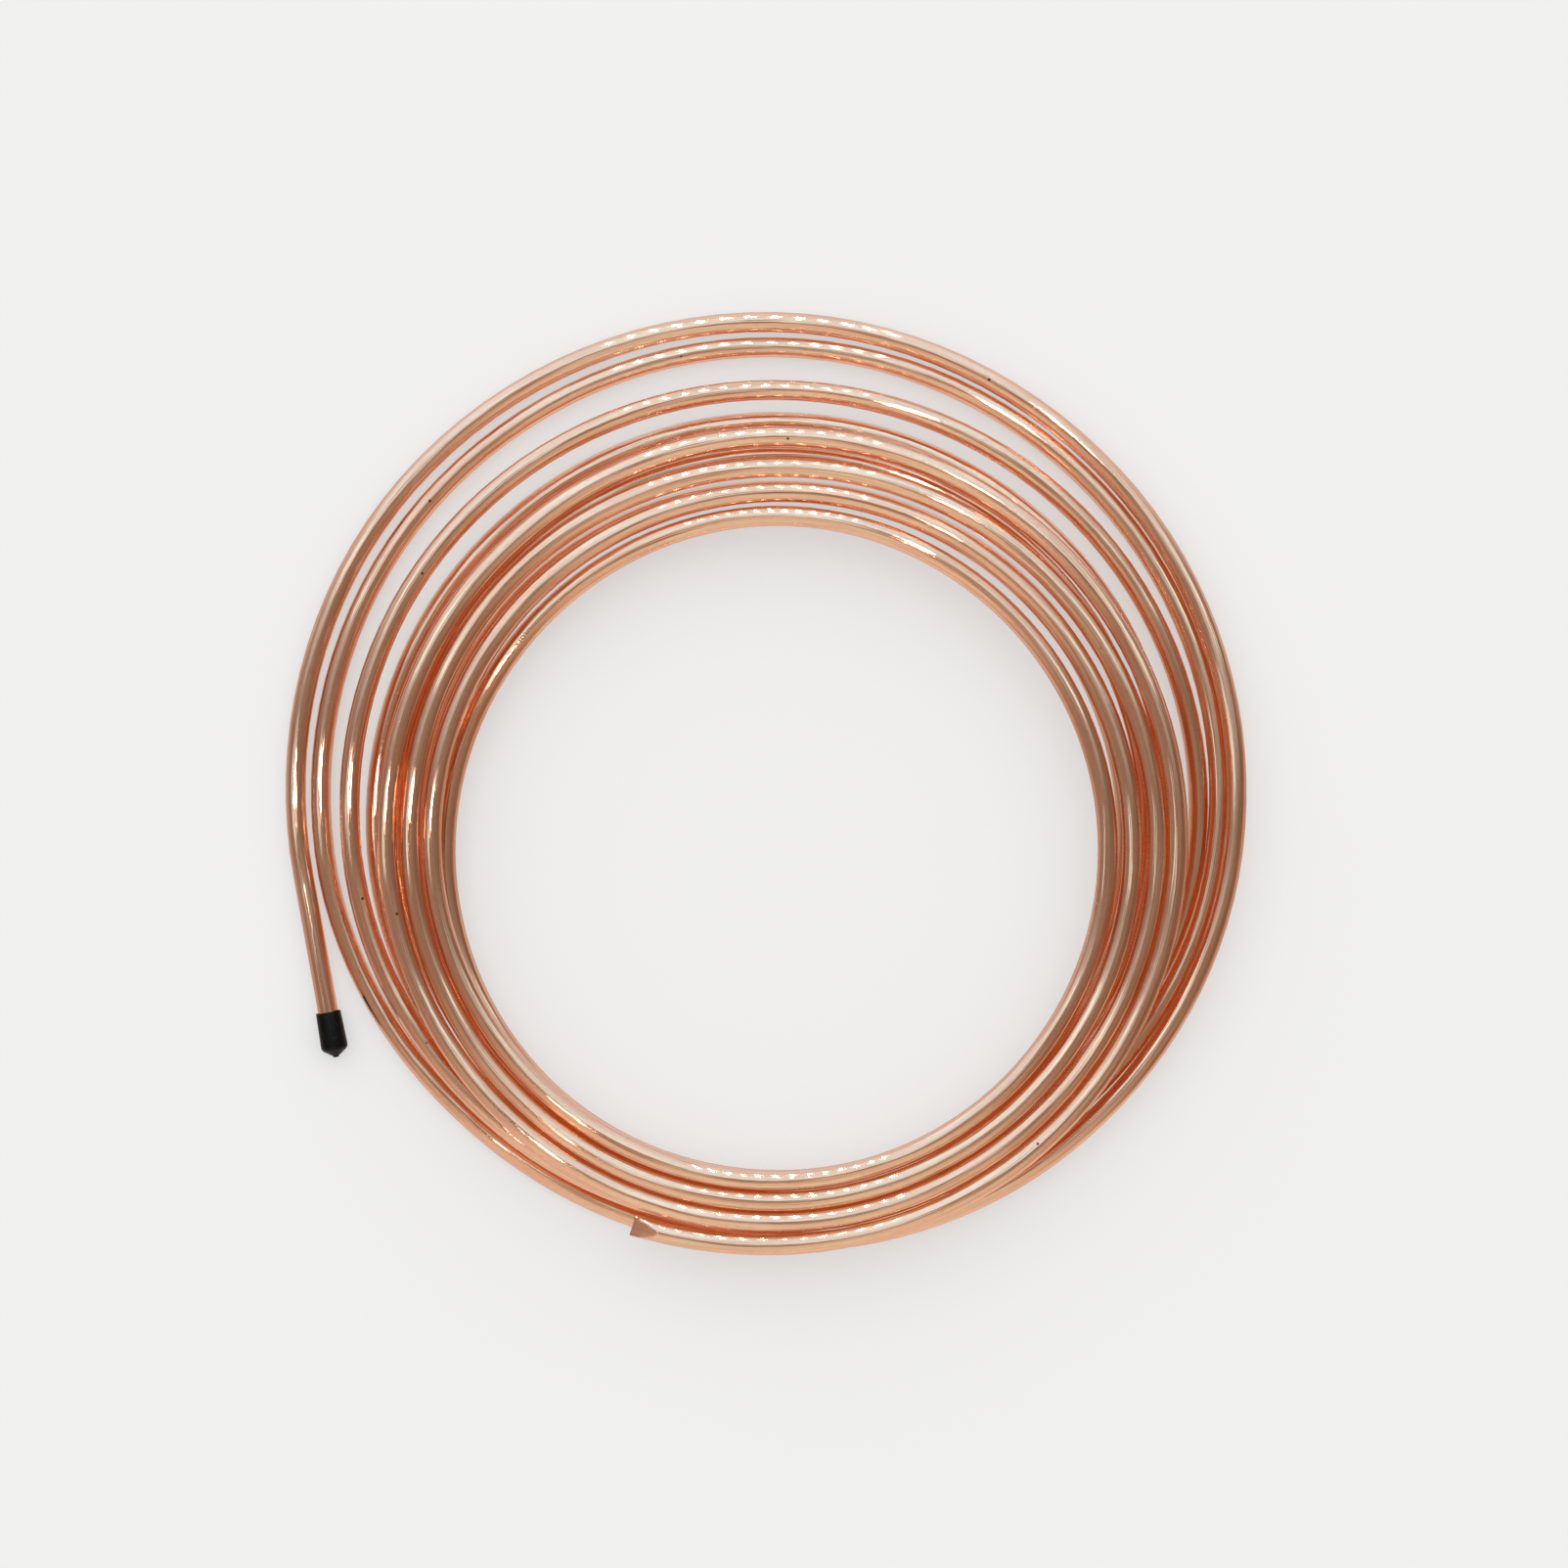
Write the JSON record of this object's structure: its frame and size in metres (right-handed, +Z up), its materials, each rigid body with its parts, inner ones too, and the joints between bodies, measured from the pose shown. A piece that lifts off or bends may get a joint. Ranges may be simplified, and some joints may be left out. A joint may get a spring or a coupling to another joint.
{
  "type": "copper tube coil",
  "caption": "Loose hand-wound coil of soft bare copper tube lying flat on its back, with a push-on black vinyl cap on its outer end and its other end nipped off and pinched shut on its front, which faces up.",
  "frame": {"origin": "on the floor under the middle of the coil's bounding box", "axes": "+Z up and out of the front of the coil, +X to the right and +Y up the coil seen from its front"},
  "size_m": [0.3024, 0.2962, 0.0216],
  "materials": {
    "copper": "bright drawn bare copper, lightly toned",
    "cap_vinyl": "satin dipped vinyl"
  },
  "bodies": {
    "root": {"copper_tube": "copper", "end_cap": "cap_vinyl"}
  },
  "joints": []
}
